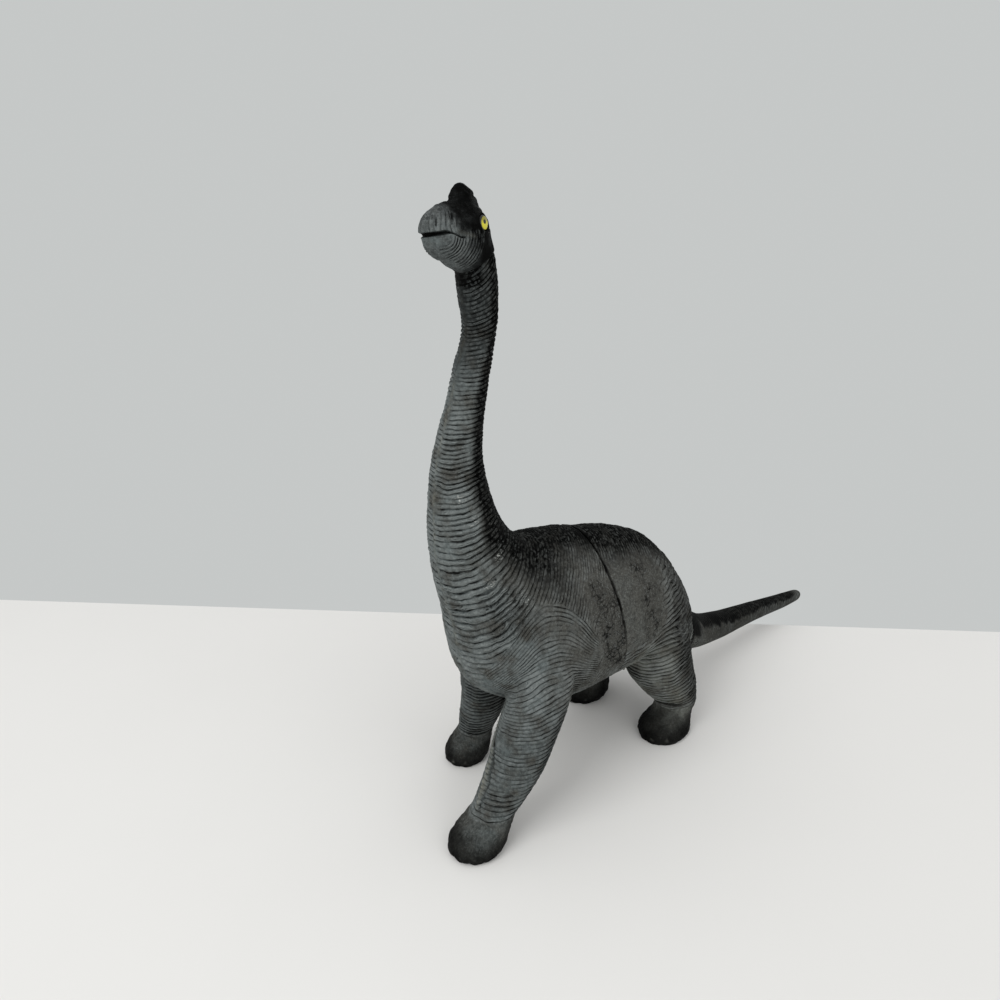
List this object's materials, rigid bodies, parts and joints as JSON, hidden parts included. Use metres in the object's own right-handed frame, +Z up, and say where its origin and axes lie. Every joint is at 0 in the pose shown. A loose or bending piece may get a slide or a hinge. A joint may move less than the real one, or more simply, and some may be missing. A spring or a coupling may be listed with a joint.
{
  "type": "toy dinosaur figure",
  "caption": "Long-necked toy dinosaur of soft vinyl on four legs, with a head and a tail that swivel on snap-in plugs.",
  "frame": {"origin": "middle of the underside, where the feet stand", "axes": "+Z up, the tail towards +Y, the nose towards -Y, the figure's left side towards +X"},
  "size_m": [0.0564, 0.2112, 0.1997],
  "materials": {
    "chest_vinyl": "soft vinyl, matte blue-grey with a black airbrushed back",
    "rump_vinyl": "soft vinyl, matte grey with a black airbrushed back",
    "head_vinyl": "soft vinyl, matte grey with a black crest",
    "tail_vinyl": "soft vinyl, matte, black on top",
    "eye_gloss": "glossy yellow bead with a black pupil and a dark rim",
    "fibre_wadding": "white polyester fibre"
  },
  "bodies": {
    "body": {"front_body": "chest_vinyl", "rear_body": "rump_vinyl", "neck_filling": "fibre_wadding", "chest_filling": "fibre_wadding", "left_foreleg_filling": "fibre_wadding", "right_foreleg_filling": "fibre_wadding", "rump_filling": "fibre_wadding", "left_hind_leg_filling": "fibre_wadding", "right_hind_leg_filling": "fibre_wadding"},
    "head": {"head": "head_vinyl", "left_eye": "eye_gloss", "right_eye": "eye_gloss"},
    "tail": {"tail": "tail_vinyl"}
  },
  "joints": [
    {"name": "head_swivel", "type": "hinge", "parent": "body", "child": "head", "pos_m": [0.00138, -0.07338, 0.1805], "axis": [0, -0.5, 0.866], "continuous": true},
    {"name": "tail_swivel", "type": "hinge", "parent": "body", "child": "tail", "pos_m": [0.00138, 0.01843, 0.0255], "axis": [0, 0.9758, -0.2187], "continuous": true}
  ]
}
